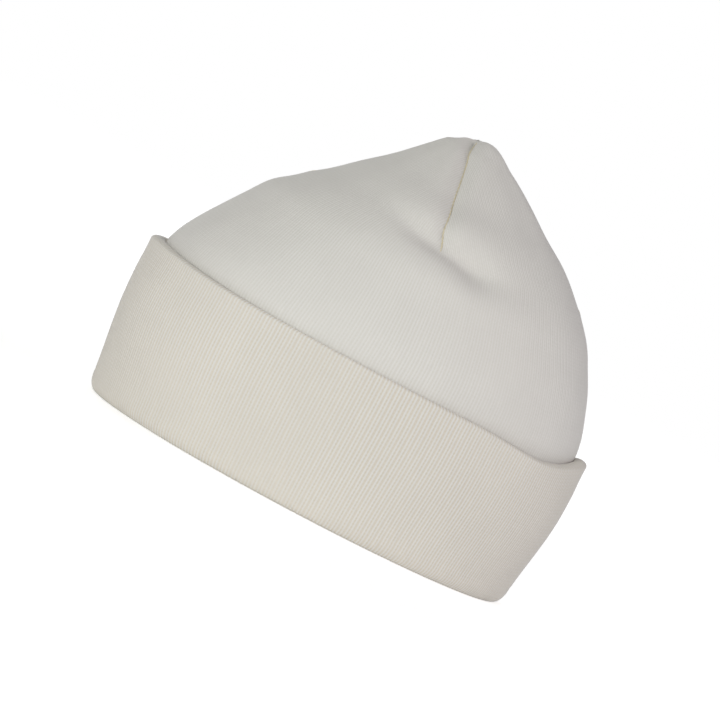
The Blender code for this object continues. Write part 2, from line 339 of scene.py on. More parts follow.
class BeanieColours(bpy.types.PropertyGroup):
    """Colours of the yarns and the studio."""

    yarn: bpy.props.FloatVectorProperty(
        name="Yarn", description="Colour of the yarn on the crests of the ribs",
        size=4, subtype="COLOR", min=0, max=1, default=linear("#DDDBD8"))
    # Painted shade: the yarn darkened and yellowed between the crown's ribs, as shade and light
    # bounced from strand to strand there
    crown_valley_shade: bpy.props.FloatVectorProperty(
        name="Crown valleys", description="Colour between the crown's ribs, where they are spread",
        size=4, subtype="COLOR", min=0, max=1, default=linear("#D4D1CB"))
    # Painted shade: the yarn darkened and yellowed more between the cuff's ribs, where they close
    # up and the shade lies deeper
    cuff_valley_shade: bpy.props.FloatVectorProperty(
        name="Cuff valleys", description="Colour between the cuff's ribs, where they close up",
        size=4, subtype="COLOR", min=0, max=1, default=linear("#D1C9BB"))
    thread: bpy.props.FloatVectorProperty(
        name="Seam thread", description="Colour of the thread that closes the darts",
        size=4, subtype="COLOR", min=0, max=1, default=linear("#DCD2B6"))
    floor: bpy.props.FloatVectorProperty(
        name="Floor", description="Colour of the studio floor",
        size=4, subtype="COLOR", min=0, max=1, default=linear("#F4F4F4"))


def eased_curve(levels, column):
    """Finely spaced heights, and one column of a table eased between its rows."""
    height = np.array(levels["height"], float)
    value = np.array(levels[column], float)
    slope = np.gradient(value, height)
    slope[1:-1] = (value[2:] - value[:-2]) / (height[2:] - height[:-2])
    at = np.linspace(0, 1, CURVE_POINTS)
    low = np.clip(np.searchsorted(height, at, side="right") - 1, 0, len(height) - 2)
    span = height[low + 1] - height[low]
    share = (at - height[low]) / span
    eased = (
        value[low] * (1 + 2 * share) * (1 - share) ** 2
        + slope[low] * span * share * (1 - share) ** 2
        + value[low + 1] * share * share * (3 - 2 * share)
        + slope[low + 1] * span * share * share * (share - 1)
    )
    return at, eased


LENGTH_CURVE = eased_curve(CROWN_LEVELS, "length")
WIDTH_CURVE = eased_curve(CROWN_LEVELS, "width")
LEAN_CURVE = eased_curve(CROWN_LEVELS, "lean")
BELLY_CURVE = eased_curve(BELLY_LEVELS, "belly")


def smooth_step(share):
    """Ease from 0 to 1 as the share goes from 0 to 1."""
    share = np.clip(share, 0, 1)
    return share * share * (3 - 2 * share)


def crown_sizes(z):
    """Half length, half width and lean of the crown's outside at heights z."""
    rise = (z - SHOULDER_HEIGHT) / (HAT_HEIGHT - SHOULDER_HEIGHT)
    swell = smooth_step(z / SHOULDER_HEIGHT)
    low_length = RIM_HALF_LENGTH + (CROWN_HALF_LENGTH - RIM_HALF_LENGTH) * swell
    low_width = RIM_HALF_WIDTH + (CROWN_HALF_WIDTH - RIM_HALF_WIDTH) * swell
    length = np.where(rise < 0, low_length, CROWN_HALF_LENGTH * np.interp(rise, *LENGTH_CURVE))
    width = np.where(rise < 0, low_width, CROWN_HALF_WIDTH * np.interp(rise, *WIDTH_CURVE))
    lean = np.where(rise < 0, 0.0, CROWN_HALF_LENGTH * np.interp(rise, *LEAN_CURVE))
    return length, width, lean


def profile_lengths():
    """Heights up the crown, and the length of the fabric up to each."""
    near_peak = HAT_HEIGHT * (1 - np.geomspace(PEAK_SHARE, PEAK_TIP, PEAK_POINTS))
    below = np.linspace(0, (1 - PEAK_SHARE) * HAT_HEIGHT, PROFILE_POINTS)[:-1]
    z = np.concatenate([below, near_peak])
    length, width, _ = crown_sizes(z)
    steps = np.hypot(np.diff(z), np.diff((length + width) / 2))
    return z, np.concatenate([[0], np.cumsum(steps)])


PROFILE_Z, PROFILE_S = profile_lengths()


def fabric_length(z):
    """Length of fabric from the surface below up to height z."""
    return np.interp(z, PROFILE_Z, PROFILE_S)


def rows_between(low, high, step):
    """Heights from low to high, evenly spaced along the fabric."""
    start, end = fabric_length(low), fabric_length(high)
    count = max(2, int(round((end - start) / step)) + 1)
    return np.interp(np.linspace(start, end, count), PROFILE_S, PROFILE_Z)


def even_turns(half_length, half_width, quarters):
    """Turns round an oval at shares of its outline, counted in quarters."""
    turn = np.linspace(0, 2 * np.pi, OUTLINE_POINTS)
    steps = np.hypot(half_length * np.diff(np.cos(turn)), half_width * np.diff(np.sin(turn)))
    along = np.concatenate([[0], np.cumsum(steps)])
    return np.interp(quarters, QUARTERS * along / along[-1], turn)


def quarter_outline(z):
    """A quarter of the crown's outline at heights z."""
    length, width, _ = crown_sizes(z)
    spread = ((length - width) / (length + width + TINY)) ** 2
    return np.pi * (length + width) * (1 + spread / 4) / QUARTERS


def half_gore_wales(z, wales):
    """Wales from a gore's middle to its seam at each of the heights."""
    dart_length = fabric_length(HAT_HEIGHT) - fabric_length(DART_END)
    above = smooth_step((fabric_length(z) - fabric_length(DART_END)) / dart_length)
    pitch = quarter_outline(np.array([DART_END])) / wales * (1 - PITCH_LOSS_AT_PEAK * above)
    return np.where(z <= DART_END, wales, np.minimum(quarter_outline(z) / pitch, wales)) / 2


def undulation(turn, z, phase):
    """A slow wave of the fabric, between about -1 and 1."""
    waves = [
        strength * np.sin(count * turn + climb * z + share * phase)
        for count, climb, share, strength in WAVES
    ]
    return sum(waves) / WAVE_PEAK


def sunk_depth(turn, z):
    """How far the darts and the puckers pull the crown in."""
    length, width, _ = crown_sizes(z)
    radius = np.hypot(length * np.cos(turn), width * np.sin(turn))
    strength = smooth_step((z - DART_END) / DART_FADE)
    off_dart = ((turn + np.pi / 4) % (np.pi / 2) - np.pi / 4) * radius
    depth = DART_DEPTH * np.exp(-((off_dart / DART_ROLL) ** 2))
    notch = DART_NOTCH_DEPTH * smooth_step((z - HAT_HEIGHT) / DART_NOTCH_RISE + 1)
    cleft = (DART_CLEFT_DEPTH + notch) * smooth_step((HAT_HEIGHT - z) / DART_CLEFT_CLEARANCE)
    depth = strength * (depth + cleft * np.exp(-np.abs(off_dart) / DART_CLEFT_ROLL))
    for pucker in PUCKERS:
        along = ((turn - pucker["at"] * np.pi / 2 + np.pi) % (2 * np.pi) - np.pi) * radius
        across = z - DART_END + pucker["drop"] * PUCKER_HALF_HEIGHT - pucker["slope"] * along
        along = (along - pucker["shift"] * PUCKER_HALF_SPAN) / (pucker["span"] * PUCKER_HALF_SPAN)
        across = across / (pucker["height"] * PUCKER_HALF_HEIGHT)
        depth = depth + PUCKER_DEPTH * pucker["depth"] * np.exp(-along ** 2 - across ** 2)
    return depth


def bare_point(turn, z):
    """Points of the crown's outside before the darts pull it in."""
    length, width, lean = crown_sizes(z)
    sway = DART_SWAY * smooth_step((z - DART_SWAY_FROM) / DART_SWAY_RISE)
    turn = turn + sway / np.maximum(length, DART_SWAY_HOLD) * np.sin(turn)
    fade = smooth_step((z - HAT_HEIGHT + PEAK_TILT_RISE) / PEAK_TILT_RISE)
    lift = PEAK_TILT * fade * length * np.cos(turn)
    return np.stack([lean + length * np.cos(turn), width * np.sin(turn), z + lift], axis=-1)


def crown_surface(turn, z, inset):
    """Points of the crown, inset metres inside its outer face."""
    twist = SHOULDER_TWIST * smooth_step((DART_END - z) / (DART_END - SHOULDER_HEIGHT))
    turn = turn + twist
    step = 0.0003
    near = np.minimum(z, HAT_HEIGHT - 3 * step)
    along = bare_point(turn + step, near) - bare_point(turn - step, near)
    up = bare_point(turn, near + step) - bare_point(turn, near - step)
    normal = np.cross(along, up)
    normal /= np.linalg.norm(normal, axis=-1, keepdims=True)
    shown = smooth_step((z - CUFF_HEIGHT) / CROWN_WAVE_FADE)
    wave = CROWN_WAVE * undulation(turn, z, 0.4) * shown
    depth = sunk_depth(turn, z) + inset + wave
    return bare_point(turn, z) - normal * depth[..., None]


def knitted_blank(name, columns, rows):
    """A flat grid of fabric, one quad for each mesh column and row."""
    bpy.ops.object.select_all(action="DESELECT")
    bpy.ops.mesh.primitive_grid_add(x_subdivisions=columns, y_subdivisions=rows, size=1)
    piece = bpy.context.object
    piece.name = piece.data.name = name
    return piece


def shape_blank(piece, points, uv):
    """Wrap the blank: a place and a UV for each point of its grid."""
    mesh = piece.data
    mesh.vertices.foreach_set("co", points.reshape(-1).astype(np.float32))
    while mesh.uv_layers:
        mesh.uv_layers.remove(mesh.uv_layers[0])
    layer = mesh.uv_layers.new(name="knit")
    corners = np.empty(len(mesh.loops), np.int32)
    mesh.loops.foreach_get("vertex_index", corners)
    layer.data.foreach_set("uv", uv.reshape(-1, 2)[corners].reshape(-1).astype(np.float32))
    mesh.update()


def sew_blank(piece, reach):
    """Merge the points that meet, as sewing does, and turn the faces out."""
    bpy.ops.object.select_all(action="DESELECT")
    piece.select_set(True)
    bpy.context.view_layer.objects.active = piece
    bpy.ops.object.mode_set(mode="EDIT")
    bpy.ops.mesh.select_all(action="SELECT")
    bpy.ops.mesh.remove_doubles(threshold=reach)
    bpy.ops.mesh.dissolve_degenerate(threshold=reach / 2)
    bpy.ops.mesh.select_all(action="SELECT")
    bpy.ops.mesh.normals_make_consistent(inside=False)
    bpy.ops.object.mode_set(mode="OBJECT")
    bpy.ops.object.shade_smooth()


def add_node(tree, kind, settings=None, inputs=None):
    """Add a shader node with its settings, and its inputs as values or links."""
    new = tree.nodes.new(kind)
    for key, value in (settings or {}).items():
        setattr(new, key, value)
    for key, value in (inputs or {}).items():
        if isinstance(value, bpy.types.Node):
            value = value.outputs[0]
        if isinstance(value, bpy.types.NodeSocket):
            tree.links.new(value, new.inputs[key])
        else:
            new.inputs[key].default_value = value
    return new


def new_material(name):
    """An empty node material, its tree and its output node."""
    material = bpy.data.materials.new(name)
    material.use_nodes = True
    tree = material.node_tree
    tree.nodes.clear()
    return material, tree, tree.nodes.new("ShaderNodeOutputMaterial")


def rib_knit_material(name, yarn, valley_shade_colour, strength):
    """Acrylic yarn, machine knitted in a close rib.

    Matt, slightly fuzzy yarn: each rib is two thin pale legs of stitches with
    a groove between them dotted with painted shade, and the broad soft valleys
    beside the rib are painted darker and yellower: painted shade, and painted
    light that bounces from strand to strand there.
    """
    material, tree, output = new_material(name)
    coords = add_node(tree, "ShaderNodeTexCoord").outputs["Object"]
    fuzz = add_node(
        tree, "ShaderNodeTexNoise",
        inputs={"Vector": coords, "Scale": 1 / FUZZ_WIDTH, "Detail": 3.0})
    mottle = add_node(
        tree, "ShaderNodeTexNoise",
        inputs={"Vector": coords, "Scale": 1 / MOTTLE_WIDTH, "Detail": 3.0})
    stretch = add_node(
        tree, "ShaderNodeTexNoise",
        inputs={"Vector": coords, "Scale": 1 / STRETCH_WIDTH, "Detail": 1.0})

    # The place on the rib: across it from 0 on its middle to 1 in the valley,
    # and along it as a wave that is 1 on each stitch and 0 between two
    uv = add_node(tree, "ShaderNodeUVMap", {"uv_map": "knit"})
    axes = add_node(tree, "ShaderNodeSeparateXYZ", inputs={0: uv})
    place = add_node(tree, "ShaderNodeMath", {"operation": "FRACT"}, {0: axes.outputs[0]})
    offset = add_node(tree, "ShaderNodeMath", {"operation": "SUBTRACT"}, {0: place, 1: 0.5})
    aside = add_node(tree, "ShaderNodeMath", {"operation": "ABSOLUTE"}, {0: offset})
    across = add_node(tree, "ShaderNodeMath", {"operation": "MULTIPLY"}, {0: aside, 1: 2.0})
    shifted = add_node(
        tree, "ShaderNodeMath", {"operation": "MULTIPLY_ADD"},
        {0: mottle, 1: STITCH_SHIFT, 2: axes.outputs[1]})
    slanted = add_node(
        tree, "ShaderNodeMath", {"operation": "MULTIPLY_ADD"},
        {0: across, 1: STITCH_SLANT, 2: shifted})
    angle = add_node(
        tree, "ShaderNodeMath", {"operation": "MULTIPLY"}, {0: slanted, 1: 2 * math.pi})
    wave = add_node(tree, "ShaderNodeMath", {"operation": "COSINE"}, {0: angle})
    stitch = add_node(
        tree, "ShaderNodeMath", {"operation": "MULTIPLY_ADD"}, {0: wave, 1: 0.5, 2: 0.5})
    gap = add_node(tree, "ShaderNodeMath", {"operation": "SUBTRACT"}, {0: 1.0, 1: stitch})

    # The parts of the rib: frayed legs, the groove and the valley
    frayed = add_node(
        tree, "ShaderNodeMath", {"operation": "MULTIPLY_ADD"}, {0: fuzz, 1: LEG_FRAY, 2: across})
    from_leg = add_node(
        tree, "ShaderNodeMath", {"operation": "SUBTRACT"}, {0: frayed, 1: LEG_MIDDLE})
    beside = add_node(tree, "ShaderNodeMath", {"operation": "ABSOLUTE"}, {0: from_leg})
    leg = add_node(
        tree, "ShaderNodeMapRange", {"interpolation_type": "SMOOTHSTEP"},
        {"Value": beside, "From Min": LEG_EDGE, "From Max": LEG_FULL})
    hollow = add_node(
        tree, "ShaderNodeMapRange", {"interpolation_type": "SMOOTHSTEP"},
        {"Value": across, "From Min": VALLEY_EDGE, "From Max": VALLEY_FULL})
    groove = add_node(
        tree, "ShaderNodeMapRange", {"interpolation_type": "SMOOTHSTEP"},
        {"Value": across, "From Min": GROOVE_EDGE, "From Max": GROOVE_FULL})
    bead = add_node(
        tree, "ShaderNodeMath", {"operation": "MULTIPLY_ADD"},
        {0: stitch, 1: STITCH_THINNING, 2: 1 - STITCH_THINNING})
    legs = add_node(tree, "ShaderNodeMath", {"operation": "MULTIPLY"}, {0: leg, 1: bead})
    groove_dot = add_node(tree, "ShaderNodeMath", {"operation": "MULTIPLY"}, {0: groove, 1: gap})
    hollow_dot = add_node(tree, "ShaderNodeMath", {"operation": "MULTIPLY"}, {0: hollow, 1: stitch})

    # The relief
    dented = add_node(
        tree, "ShaderNodeMath", {"operation": "MULTIPLY_ADD"},
        {0: groove_dot, 1: GROOVE_RELIEF, 2: legs})
    height = add_node(
        tree, "ShaderNodeMath", {"operation": "MULTIPLY_ADD"},
        {0: fuzz, 1: FUZZ_RELIEF, 2: dented})
    bump = add_node(
        tree, "ShaderNodeBump",
        inputs={"Strength": strength, "Distance": STITCH_RELIEF, "Height": height})

    # The colour, from the valley's painted shade to the yarn's, with painted shade in the dots of
    # the groove and the valley, clearer where it is stretched
    # Painted shade: the groove's dots, the holes between stitches, darken the colour
    groove_shaded = add_node(
        tree, "ShaderNodeMath", {"operation": "MULTIPLY_ADD"},
        {0: groove_dot, 1: GROOVE_SHADE, 2: legs})
    # Painted shade: the valley's dots at each stitch darken the colour further
    pale = add_node(
        tree, "ShaderNodeMath", {"operation": "MULTIPLY_ADD"},
        {0: hollow_dot, 1: VALLEY_SHADE, 2: groove_shaded})
    spread = add_node(
        tree, "ShaderNodeMapRange",
        inputs={
            "Value": stretch, "From Min": 0.35, "From Max": 0.65,
            "To Min": STRETCH_LOW, "To Max": STRETCH_HIGH,
        })
    off_mean = add_node(
        tree, "ShaderNodeMath", {"operation": "SUBTRACT"}, {0: pale, 1: PALE_MEAN})
    seen = add_node(
        tree, "ShaderNodeMath", {"operation": "MULTIPLY_ADD"},
        {0: off_mean, 1: spread, 2: PALE_MEAN})
    blend = add_node(
        tree, "ShaderNodeMapRange",
        inputs={"Value": seen, "From Min": PALE_LOW, "From Max": PALE_HIGH})
    # Mix from the valley's painted shade colour to the yarn's
    mix = add_node(
        tree, "ShaderNodeMix", {"data_type": "RGBA"}, {"Factor": blend, "A": valley_shade_colour, "B": yarn})
    shade = add_node(
        tree, "ShaderNodeMapRange",
        inputs={"Value": mottle, "To Min": 1 - MOTTLE_SHADE, "To Max": 1 + MOTTLE_SHADE})
    tint = add_node(
        tree, "ShaderNodeMix", {"data_type": "RGBA", "blend_type": "MULTIPLY"},
        {"Factor": 1.0, "A": mix.outputs["Result"], "B": shade})

    shader = add_node(
        tree, "ShaderNodeBsdfPrincipled",
        inputs={
            "Base Color": tint.outputs["Result"], "Roughness": 0.95, "Specular IOR Level": 0.10,
            "Sheen Weight": 0.04, "Sheen Roughness": 0.6, "Normal": bump,
        })
    tree.links.new(shader.outputs[0], output.inputs[0])
    return material


def twisted_thread_material(name, colour, twist):
    """Spun polyester thread: a little yellower than the yarn, matt, with a faint twist.

    The wave texture's diagonal bands repeat every 0.2 pi of its cells.
    """
    material, tree, output = new_material(name)
    coords = add_node(tree, "ShaderNodeTexCoord")
    bands = add_node(
        tree, "ShaderNodeTexWave", {"bands_direction": "DIAGONAL"},
        {
            "Vector": coords.outputs["Object"], "Scale": 0.2 * math.pi / twist,
            "Distortion": 1.0, "Detail": 1.0,
        })
    darker = [THREAD_SHADE * part for part in colour[:3]]
    mix = add_node(
        tree, "ShaderNodeMix", {"data_type": "RGBA"},
        {"Factor": bands.outputs["Fac"], "A": (*darker, 1.0), "B": colour})
    bump = add_node(
        tree, "ShaderNodeBump",
        inputs={"Strength": 0.5, "Distance": THREAD_RELIEF, "Height": bands.outputs["Fac"]})
    shader = add_node(
        tree, "ShaderNodeBsdfPrincipled",
        inputs={"Base Color": mix.outputs["Result"], "Roughness": 0.8, "Normal": bump})
    tree.links.new(shader.outputs[0], output.inputs[0])
    return material


class BEANIE_OT_crown(bpy.types.Operator):
    """Knit the crown's blank, gather it on to the darts and sew them"""

    bl_idname = "beanie.crown"
    bl_label = "Knit the crown"

    def execute(self, context):
        knit = context.scene.beanie_knit
        wales = knit.wales_per_quarter
        columns = QUARTERS * wales * len(RIB_PLACES)
        shown_from = CUFF_HEIGHT - COVERED_MARGIN
        outside = np.concatenate([
            rows_between(FOOT_HEIGHT, shown_from, knit.hidden_row)[:-1],
            rows_between(shown_from, HAT_HEIGHT, knit.row),
        ])
        inside = rows_between(FOOT_HEIGHT, HAT_HEIGHT, knit.hidden_row)[::-1]
        heights = np.concatenate([inside, outside])
        column = np.arange(columns + 1)
        wale = column // len(RIB_PLACES) + RIB_PLACES[column % len(RIB_PLACES)]
        relief = RIB_DEPTHS[column % len(RIB_PLACES)]
        off_middle = wale % wales - wales / 2
        off_middle[-1] = -wales / 2
        quarter = wale // wales
        # The height at which each wale meets a dart's seam and stays on it
        scale = np.linspace(DART_END, HAT_HEIGHT, SEAM_POINTS)
        seam_height = np.interp(
            np.abs(off_middle), half_gore_wales(scale, wales)[::-1], scale[::-1])
        points = np.empty((len(heights), columns + 1, 3))
        uv = np.empty((len(heights), columns + 1, 2))
        for row, height in enumerate(heights):
            z = np.minimum(height, np.maximum(seam_height, DART_END))
            half = half_gore_wales(z, wales)
            share = np.clip(0.5 + 0.5 * off_middle / np.maximum(half, TINY), 0, 1)
            outline_height = min(height, HAT_HEIGHT - PEAK_OUTLINE_CLEARANCE)
            length, width, _ = crown_sizes(np.array([outline_height]))
            turn = even_turns(length[0], width[0], quarter + share)
            from_seam = np.minimum(share, 1 - share) * 2 * half
            near_seam = np.clip(1 - from_seam / SEAM_CALM, 0, 1)
            sewn = smooth_step((z - DART_END) / DART_FADE) * near_seam
            depth = knit.rib_depth * relief * (1 - SEAM_FLATTENING * sewn)
            inset = WALL - INSIDE_RELIEF * depth if row < len(inside) else depth
            points[row] = crown_surface(turn, z, inset)
            uv[row, :, 0] = wale
            uv[row, :, 1] = fabric_length(z) / knit.course
        foot = [len(inside) - 1, len(inside)]
        points[foot, :, 2] = FOOT_HEIGHT
        piece = knitted_blank("knitted_crown", columns, len(heights) - 1)
        shape_blank(piece, points, uv)
        sew_blank(piece, SEW_REACH)
        colours = context.scene.beanie_colours
        material = rib_knit_material(
            "acrylic_rib_knit_single_layer", colours.yarn, colours.crown_valley_shade, SINGLE_STRENGTH)
        piece.data.materials.append(material)
        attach(piece, "root")
        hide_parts("crown")
        return {"FINISHED"}


def arc_points(start, end, steps):
    """Points of a unit arc between two angles, outwards and upwards."""
    turns = np.linspace(start, end, steps + 1)
    return list(zip(np.cos(turns), np.sin(turns)))


def edge_lift(turn):
    """How far the cuff's free edge stands above its height at the front."""
    end = np.cos(turn)
    left = EDGE_RISE_LEFT * np.maximum(-end, 0) ** EDGE_POWER_LEFT * (1 - EDGE_LEAN * np.sin(turn))
    right = EDGE_RISE_RIGHT * np.maximum(end, 0) ** EDGE_POWER_RIGHT
    from_right_end = np.arccos(np.clip(end, -1, 1))
    dip = np.exp(-(((from_right_end - EDGE_DIP_TURN) / EDGE_DIP_SPREAD) ** 2))
    return left + right - EDGE_DIP * dip


def cuff_leg(turn, z, walls):
    """Points round the cuff's outer leg, walls thicknesses from its inner face."""
    share = z / CUFF_HEIGHT
    height = z + edge_lift(turn) * share * share
    length, width, _ = crown_sizes(np.minimum(height, SHOULDER_HEIGHT))
    up = smooth_step(share)
    gap = CUFF_GAP_AT_RIM + (CUFF_GAP_AT_EDGE - CUFF_GAP_AT_RIM) * up
    padding = smooth_step(share / CUFF_END_FULL_AT)
    wall_at_ends = WALL + (CUFF_WALL_AT_ENDS - WALL) * padding
    out = gap + CUFF_BELLY * walls * np.interp(share, *BELLY_CURVE)
    out = out + CUFF_WAVE * up * undulation(turn, height, 1.7) * walls
    x = (length + out + walls * wall_at_ends) * np.cos(turn)
    y = (width + out + walls * WALL) * np.sin(turn)
    return np.stack([x, y, height], axis=-1)


def rim_ring(turn, outset, z):
    """Points round the rim's fold, outset metres outside the crown's foot."""
    length, width, _ = crown_sizes(np.array([INNER_LEG_HEIGHT]))
    x = (length + outset) * np.cos(turn)
    y = (width + outset) * np.sin(turn)
    return np.stack([x, y, np.full_like(turn, z)], axis=-1)


def cuff_rings(turn, row, hidden_row):
    """The rings of the J section, up its outer leg, over the edge and back round."""
    fold = CUFF_GAP_AT_RIM / 2
    hollow = fold + WALL
    heel = CUFF_GAP_AT_RIM + 2 * WALL - FOLD_TOE - REST_BAND
    rings = []
    for z in np.arange(FOLD_RISE + row, CUFF_HEIGHT - EDGE_ROLL - row / 2, row):
        rings.append(cuff_leg(turn, z, 1.0))
    for across, up in arc_points(0, math.pi, EDGE_STEPS):
        rings.append(cuff_leg(turn, CUFF_HEIGHT + EDGE_ROLL * (up - 1), (1 + across) / 2))
    for z in np.arange(CUFF_HEIGHT - EDGE_ROLL - hidden_row, hollow + hidden_row, -hidden_row):
        rings.append(cuff_leg(turn, z, 0.0))
    for across, up in arc_points(0, -math.pi, HOLLOW_STEPS):
        rings.append(rim_ring(turn, fold * (1 + across), hollow + fold * up))
    rings.append(rim_ring(turn, 0.0, INNER_LEG_HEIGHT))
    rings.append(rim_ring(turn, -WALL, INNER_LEG_HEIGHT))
    for across, up in arc_points(-math.pi, -math.pi / 2, HEEL_STEPS):
        rings.append(rim_ring(turn, heel * (1 + across) - WALL, hollow * (1 + up)))
    for across, up in arc_points(-math.pi / 2, 0, TOE_STEPS):
        out = heel - WALL + REST_BAND + FOLD_TOE * across
        rings.append(rim_ring(turn, out, FOLD_RISE * (1 + up)))
    return np.array(rings)


class BEANIE_OT_cuff(bpy.types.Operator):
    """Knit the cuff's band, fold it to a J and close it round the rim"""

    bl_idname = "beanie.cuff"
    bl_label = "Knit the cuff"

    def execute(self, context):
        knit = context.scene.beanie_knit
        columns = QUARTERS * knit.wales_per_quarter * len(RIB_PLACES)
        column = np.arange(columns + 1)
        wale = column // len(RIB_PLACES) + RIB_PLACES[column % len(RIB_PLACES)]
        even = even_turns(CROWN_HALF_LENGTH, CROWN_HALF_WIDTH, wale / knit.wales_per_quarter)
        base = cuff_rings(even + SHOULDER_TWIST, knit.row, knit.hidden_row)
        along = np.roll(base[:, :-1], -1, axis=1) - np.roll(base[:, :-1], 1, axis=1)
        up_path = np.roll(base, -1, axis=0)[:, :-1] - np.roll(base, 1, axis=0)[:, :-1]
        normal = np.cross(along, up_path)
        normal /= np.linalg.norm(normal, axis=-1, keepdims=True)
        normal = np.concatenate([normal, normal[:, :1]], axis=1)
        depth = knit.rib_depth * RIB_DEPTHS[column % len(RIB_PLACES)]
        points = base - normal * depth[None, :, None]
        points[..., 2] = np.maximum(points[..., 2], 0)
        points = np.concatenate([points, points[:1]], axis=0)
        # The courses are spaced along the section half way round the first quarter
        half_quarter = columns // QUARTERS // 2
        steps = np.linalg.norm(np.diff(points[:, half_quarter], axis=0), axis=-1)
        course = np.concatenate([[0], np.cumsum(steps)]) / knit.course
        uv = np.stack(np.broadcast_arrays(wale[None, :], course[:, None]), axis=-1)
        piece = knitted_blank("knitted_cuff", columns, len(points) - 1)
        shape_blank(piece, points, uv)
        sew_blank(piece, SEW_REACH)
        colours = context.scene.beanie_colours
        material = rib_knit_material(
            "acrylic_rib_knit_turned_double", colours.yarn, colours.cuff_valley_shade, DOUBLE_STRENGTH)
        piece.data.materials.append(material)
        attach(piece, "root")
        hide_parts("cuff")
        return {"FINISHED"}


class BEANIE_OT_threads(bpy.types.Operator):
    """Lay the thread that closes each dart in its groove"""

    bl_idname = "beanie.threads"
    bl_label = "Sew the darts"

    def execute(self, context):
        knit = context.scene.beanie_knit
        colour = context.scene.beanie_colours.thread
        material = twisted_thread_material("spun_polyester_seam_thread", colour, THREAD_TWIST)
        z = rows_between(DART_END, HAT_HEIGHT - THREAD_PEAK_CLEARANCE, THREAD_STEP)
        length, _, _ = crown_sizes(z)
        stitch = np.arange(len(z)) * math.pi / 2
        for number, name in enumerate(DART_NAMES):
            turn = np.full(len(z), number * math.pi / 2)
            wander = THREAD_WANDER * undulation(turn, 4 * z, 1.0 + number)
            sideways = THREAD_ZIGZAG * np.sin(stitch) + wander
            sunk = 0.5 * knit.thread * (1 - smooth_step((z - DART_END) / THREAD_RISE))
            aside = sideways / np.maximum(length, THREAD_TURN_HOLD)
            points = crown_surface(turn + aside, z, sunk)
            bpy.ops.object.select_all(action="DESELECT")
            bpy.ops.curve.primitive_nurbs_path_add()
            thread = context.object
            thread.name = thread.data.name = f"dart_thread_{name}"
            spline = thread.data.splines[0]
            spline.points.add(len(z) - len(spline.points))
            for point, place, phase in zip(spline.points, points, stitch):
                point.co = (*place, 1.0)
                point.radius = 1.0 + THREAD_SWELL * math.cos(phase)
            spline.use_endpoint_u = True
            thread.data.resolution_u = 2
            thread.data.bevel_depth = knit.thread / 2
            thread.data.bevel_resolution = 2
            thread.data.use_fill_caps = True
            bpy.ops.object.convert(target="MESH")
            bpy.ops.object.shade_smooth()
            thread.data.materials.append(material)
            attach(thread, "root")
        return {"FINISHED"}


def ridge_points(dart, z, around):
    """Points round the overlocked ridge of a dart, a closed section at each height."""
    turn = np.full(len(z), dart * math.pi / 2)
    length, width, _ = crown_sizes(z)
    radius = np.hypot(length * np.cos(turn), width * np.sin(turn))
    half_turn = RIDGE_WIDTH / 2 / np.maximum(radius - WALL, RIDGE_WIDTH)
    course = (fabric_length(z) - fabric_length(z[0])) / OVERLOCK_PITCH
    rows = []
    for angle in around:
        side = math.cos(angle)
        wave = np.cos(2 * math.pi * course + OVERLOCK_SLANT * side)
        loop = 1 - OVERLOCK_SWELL + OVERLOCK_SWELL * wave
        rise = RIDGE_DEPTH * max(math.sin(angle), 0.0) * loop
        rows.append(crown_surface(turn + side * half_turn, z, WALL + RIDGE_GAP + rise))
    return np.stack(rows, axis=1)


class BEANIE_OT_overlocks(bpy.types.Operator):
    """Lay the overlocked ridge that each dart leaves inside the crown"""

    bl_idname = "beanie.overlocks"
    bl_label = "Overlock the darts"

    def execute(self, context):
        colour = context.scene.beanie_colours.thread
        material = twisted_thread_material("overlocked_polyester_seam", colour, OVERLOCK_TWIST)
        top = HAT_HEIGHT - RIDGE_PEAK_CLEARANCE
        z = rows_between(DART_END + RIDGE_START, top, OVERLOCK_PITCH / OVERLOCK_ROWS)
        around = np.linspace(0, 2 * math.pi, RIDGE_SIDES + 1)
        for number, name in enumerate(DART_NAMES):
            points = ridge_points(number, z, around)
            middle = points[:, :-1].mean(axis=1, keepdims=True)
            points[0] = middle[0]
            points[-1] = middle[-1]
            uv = np.stack(np.meshgrid(around, np.arange(len(z))), axis=-1)
            piece = knitted_blank(f"overlock_{name}", len(around) - 1, len(z) - 1)
            shape_blank(piece, points, uv)
            sew_blank(piece, SEW_REACH / 2)
            piece.data.materials.append(material)
            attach(piece, "root")
            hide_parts(f"dart_seam_{name}")
        return {"FINISHED"}


class BEANIE_OT_stage(bpy.types.Operator):
    """Set out the floor, the lights and the camera"""

    bl_idname = "beanie.stage"
    bl_label = "Set the stage"

    def execute(self, context):
        scene = context.scene
        scene.view_settings.view_transform = "Standard"
        lay_floor(scene.beanie_colours)
        hang_lights()
        light_world(scene)
        place_camera(scene)
        return {"FINISHED"}


